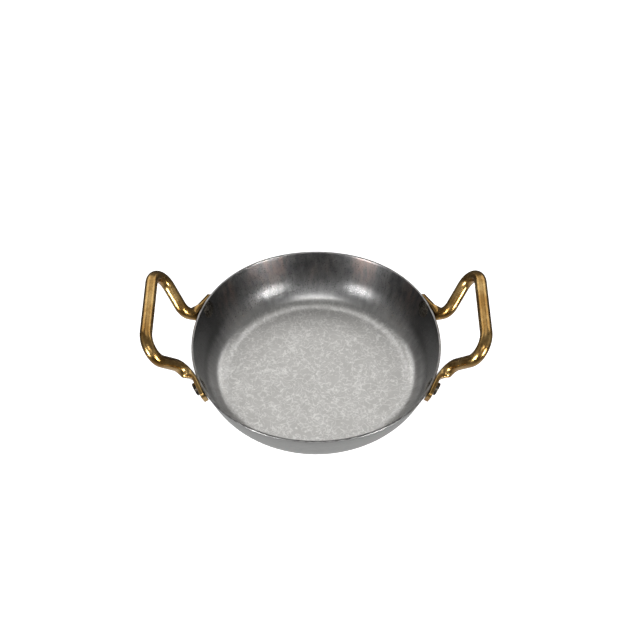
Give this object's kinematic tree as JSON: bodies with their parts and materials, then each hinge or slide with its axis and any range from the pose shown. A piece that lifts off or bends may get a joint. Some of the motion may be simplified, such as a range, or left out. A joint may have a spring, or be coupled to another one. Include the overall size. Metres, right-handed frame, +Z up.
{
  "type": "two-handled serving pan",
  "caption": "Small round steel serving pan with rounded corner and two bent brass rod handles, each riveted on at both ends.",
  "frame": {"origin": "centre of the pan's underside, where it rests on the table", "axes": "+Z up out of the bowl; the handles stand out along +X and -X; -Y is the front, as the pan is first seen"},
  "size_m": [0.1874, 0.1398, 0.0613],
  "materials": {
    "pan_steel": "brushed wall and tumbled, mottled floor",
    "handle_brass": "satin polished, slightly aged",
    "rivet_steel": "dark and smooth"
  },
  "bodies": {
    "root": {"pan_body": "pan_steel", "left_handle": "handle_brass", "right_handle": "handle_brass", "rivet_left_front": "rivet_steel", "rivet_left_back": "rivet_steel", "rivet_right_front": "rivet_steel", "rivet_right_back": "rivet_steel"}
  },
  "joints": []
}
